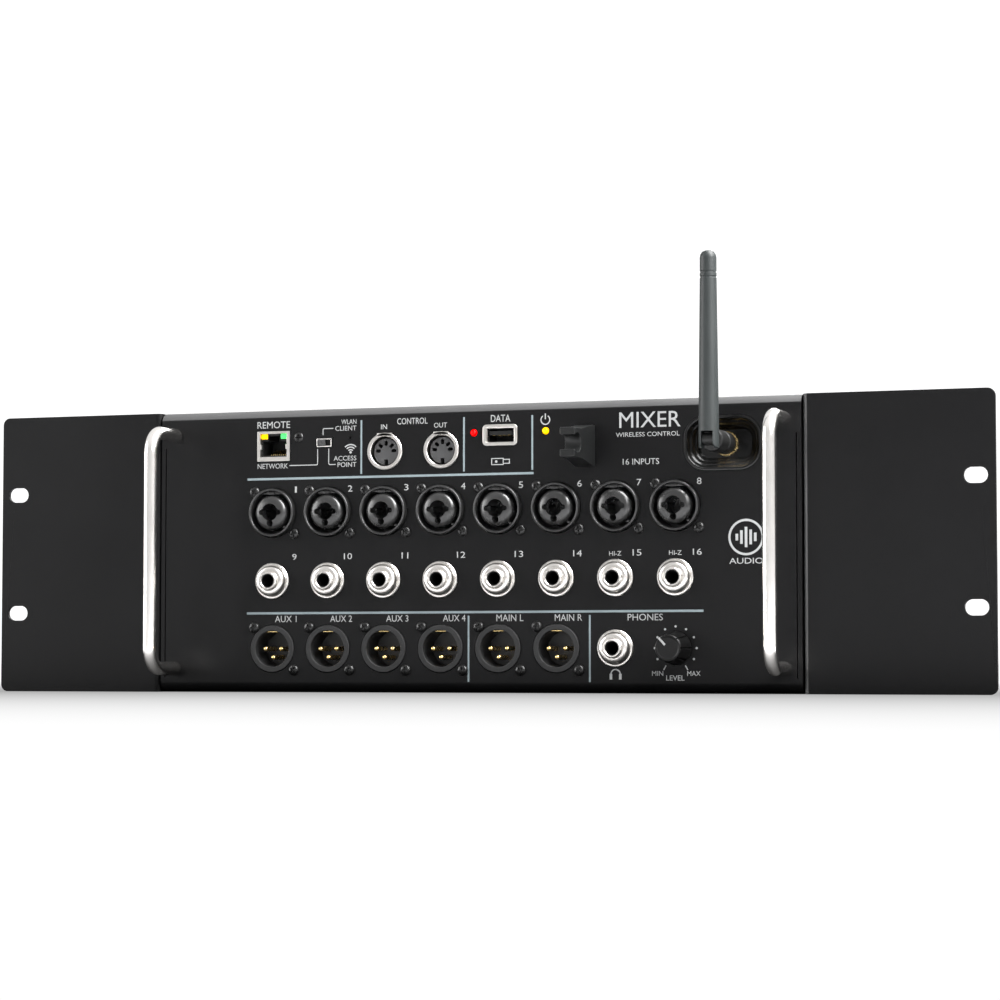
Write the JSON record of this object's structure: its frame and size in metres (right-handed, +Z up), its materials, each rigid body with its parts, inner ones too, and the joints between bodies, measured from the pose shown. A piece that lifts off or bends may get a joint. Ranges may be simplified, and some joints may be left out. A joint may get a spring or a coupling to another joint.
{
  "type": "rack-mount wireless stage mixer",
  "caption": "Three-unit rack-mount stage mixer with front sockets, two bar handles, a level knob and a folding wireless antenna that turns to park in a clip.",
  "frame": {"origin": "centre of the bottom of the object's box, antenna upright; the underside and the rack ears' lower edges lie on z = 0", "axes": "+X to the right as seen from the front, along the rack width; the front panel faces -Y; +Z up"},
  "size_m": [0.4826, 0.1474, 0.1935],
  "materials": {
    "black_paint": "fine satin black powder coat",
    "black_plastic": "moulded, satin black",
    "grey_plastic": "moulded, matt dark grey",
    "antenna_plastic": "moulded, satin grey-green",
    "nickel": "satin nickel plate",
    "bare_steel": "bright zinc or tin plate",
    "gold": "gold plate",
    "circuit_board": "green solder resist",
    "red_lens": "lit red lens",
    "yellow_lens": "lit yellow lens",
    "legend_ink": "screen-printed pale ink"
  },
  "bodies": {
    "case": {"antenna_clip": "black_plastic", "antenna_connector": "gold", "antenna_well": "black_plastic", "aux_output_1": "grey_plastic", "aux_output_2": "grey_plastic", "aux_output_3": "grey_plastic", "aux_output_4": "grey_plastic", "chassis_tray": "black_paint", "combo_socket_1": "black_plastic", "combo_socket_2": "black_plastic", "combo_socket_3": "black_plastic", "combo_socket_4": "black_plastic", "combo_socket_5": "black_plastic", "combo_socket_6": "black_plastic", "combo_socket_7": "black_plastic", "combo_socket_8": "black_plastic", "control_socket_in": "bare_steel", "control_socket_out": "bare_steel", "data_led": "red_lens", "data_port": "bare_steel", "front_panel": "black_paint", "handle_screw_1": "bare_steel", "handle_screw_2": "bare_steel", "handle_screw_3": "bare_steel", "handle_screw_4": "bare_steel", "heat_sink": "bare_steel", "left_handle": "nickel", "left_rack_ear": "black_paint", "level_potentiometer": "bare_steel", "line_jack_10": "nickel", "line_jack_11": "nickel", "line_jack_12": "nickel", "line_jack_13": "nickel", "line_jack_14": "nickel", "line_jack_15": "nickel", "line_jack_16": "nickel", "line_jack_9": "nickel", "main_board": "circuit_board", "main_output_left": "grey_plastic", "main_output_right": "grey_plastic", "mains_inlet": "black_plastic", "mode_switch_body": "bare_steel", "network_screw": "black_paint", "network_socket": "bare_steel", "phones_jack": "nickel", "power_led": "yellow_lens", "power_supply_board": "circuit_board", "power_switch_frame": "black_plastic", "right_handle": "nickel", "right_rack_ear": "black_paint", "top_cover": "black_paint", "wireless_module": "circuit_board"},
    "antenna_sleeve": {"antenna_swivel": "black_plastic", "antenna_hinge_pin": "bare_steel"},
    "antenna_mast": {"antenna_mast": "antenna_plastic"},
    "level_knob": {"level_knob": "black_plastic", "level_shaft": "bare_steel"},
    "mode_slider": {"mode_switch_slider": "black_plastic"},
    "reset_button": {"reset_button": "grey_plastic"},
    "power_rocker": {"power_rocker": "black_plastic"}
  },
  "joints": [
    {"name": "antenna_turn", "type": "hinge", "parent": "case", "child": "antenna_sleeve", "pos_m": [0.1199, -0.04295, 0.1116], "axis": [0, 1, 0], "range_deg": [-80, 50]},
    {"name": "antenna_fold", "type": "hinge", "parent": "antenna_sleeve", "child": "antenna_mast", "pos_m": [0.1199, -0.06595, 0.1116], "axis": [1, 0, 0], "range_deg": [0, 90]},
    {"name": "level_turn", "type": "hinge", "parent": "case", "child": "level_knob", "pos_m": [0.098, -0.04295, 0.0203], "axis": [0, 1, 0], "range_deg": [-107, 193]},
    {"name": "mode_slide", "type": "slide", "parent": "case", "child": "mode_slider", "axis": [1, 0, 0], "range_m": [0, 0.003]},
    {"name": "reset_press", "type": "slide", "parent": "case", "child": "reset_button", "axis": [0, 1, 0], "range_m": [0, 0.0005], "stiffness_N_per_m": 400},
    {"name": "power_rock", "type": "hinge", "parent": "case", "child": "power_rocker", "pos_m": [0.078, 0.06685, 0.032], "axis": [1, 0, 0], "range_deg": [0, 24]}
  ]
}
